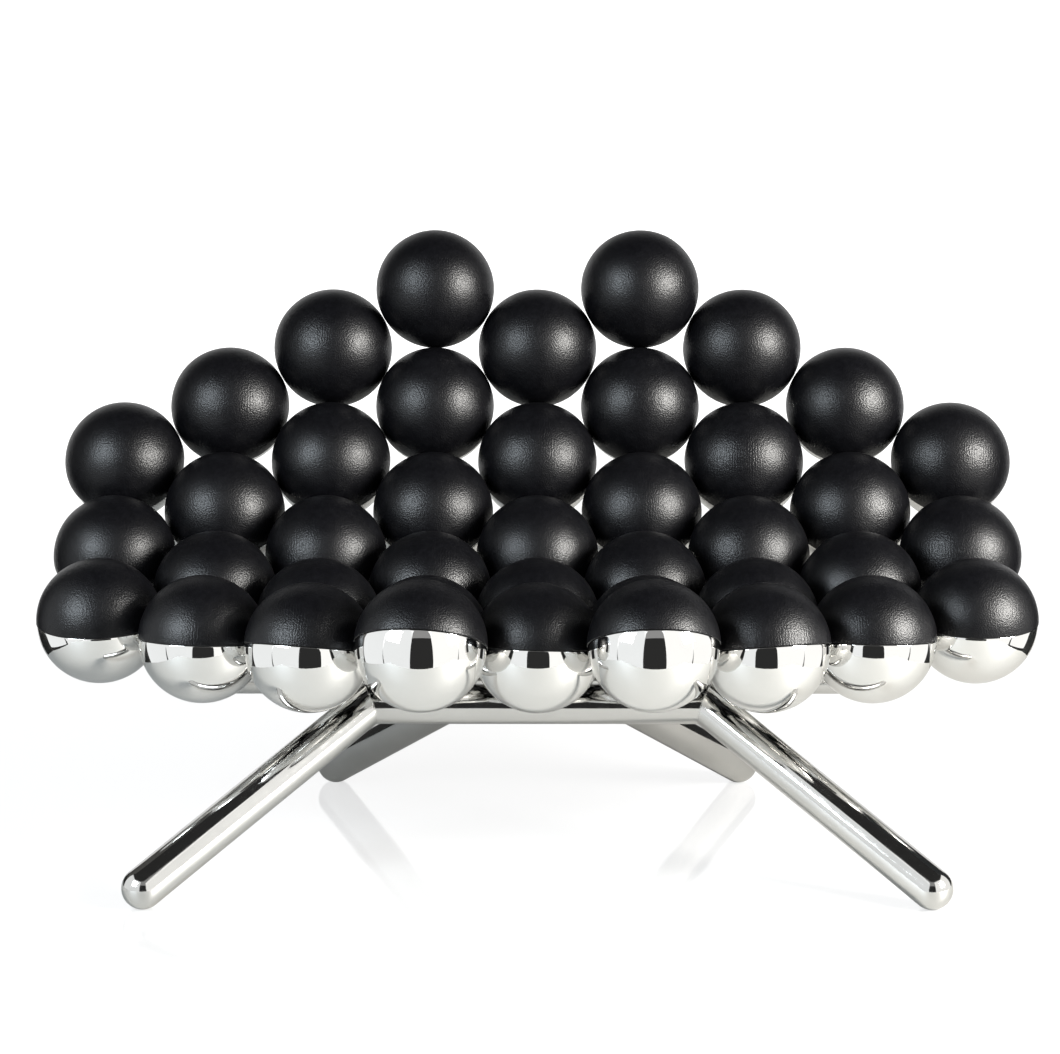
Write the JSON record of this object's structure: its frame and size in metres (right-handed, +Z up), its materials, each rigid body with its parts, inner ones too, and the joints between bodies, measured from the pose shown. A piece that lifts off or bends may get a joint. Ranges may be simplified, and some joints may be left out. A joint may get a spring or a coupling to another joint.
{
  "type": "ball lounge seat",
  "caption": "Wide curved lounge seat of touching balls, black leather towards the sitter and mirror-polished steel behind, on four splayed tube legs.",
  "frame": {"origin": "on the floor, under the middle of the seat's bounding box", "axes": "+X to the right as seen from in front, -Y the way the sitter faces, +Z up"},
  "size_m": [1.1886, 0.6969, 0.723],
  "materials": {
    "black_leather": "satin, fine pebble grain",
    "polished_steel_shell": "mirror-polished stainless steel",
    "polished_steel_tube": "mirror-polished stainless steel tube"
  },
  "bodies": {
    "root": {"leather_pad_left4_1": "black_leather", "leather_pad_left4_2": "black_leather", "leather_pad_left4_3": "black_leather", "leather_pad_left3_1": "black_leather", "leather_pad_left3_2": "black_leather", "leather_pad_left3_3": "black_leather", "leather_pad_left3_4": "black_leather", "leather_pad_left2_1": "black_leather", "leather_pad_left2_2": "black_leather", "leather_pad_left2_3": "black_leather", "leather_pad_left2_4": "black_leather", "leather_pad_left2_5": "black_leather", "leather_pad_left1_1": "black_leather", "leather_pad_left1_2": "black_leather", "leather_pad_left1_3": "black_leather", "leather_pad_left1_4": "black_leather", "leather_pad_left1_5": "black_leather", "leather_pad_left1_6": "black_leather", "leather_pad_middle_1": "black_leather", "leather_pad_middle_2": "black_leather", "leather_pad_middle_3": "black_leather", "leather_pad_middle_4": "black_leather", "leather_pad_middle_5": "black_leather", "leather_pad_right1_1": "black_leather", "leather_pad_right1_2": "black_leather", "leather_pad_right1_3": "black_leather", "leather_pad_right1_4": "black_leather", "leather_pad_right1_5": "black_leather", "leather_pad_right1_6": "black_leather", "leather_pad_right2_1": "black_leather", "leather_pad_right2_2": "black_leather", "leather_pad_right2_3": "black_leather", "leather_pad_right2_4": "black_leather", "leather_pad_right2_5": "black_leather", "leather_pad_right3_1": "black_leather", "leather_pad_right3_2": "black_leather", "leather_pad_right3_3": "black_leather", "leather_pad_right3_4": "black_leather", "leather_pad_right4_1": "black_leather", "leather_pad_right4_2": "black_leather", "leather_pad_right4_3": "black_leather", "steel_shells_left4": "polished_steel_shell", "steel_shells_left3": "polished_steel_shell", "steel_shells_left2": "polished_steel_shell", "steel_shells_left1": "polished_steel_shell", "steel_shells_middle": "polished_steel_shell", "steel_shells_right1": "polished_steel_shell", "steel_shells_right2": "polished_steel_shell", "steel_shells_right3": "polished_steel_shell", "steel_shells_right4": "polished_steel_shell", "front_cross_tube": "polished_steel_tube", "front_leg_left": "polished_steel_tube", "front_leg_right": "polished_steel_tube", "bearer_tube": "polished_steel_tube", "bearer_end_left": "polished_steel_tube", "bearer_end_right": "polished_steel_tube", "rear_leg_left": "polished_steel_tube", "rear_leg_right": "polished_steel_tube", "frame_link_left": "polished_steel_tube", "frame_link_right": "polished_steel_tube"}
  },
  "joints": []
}
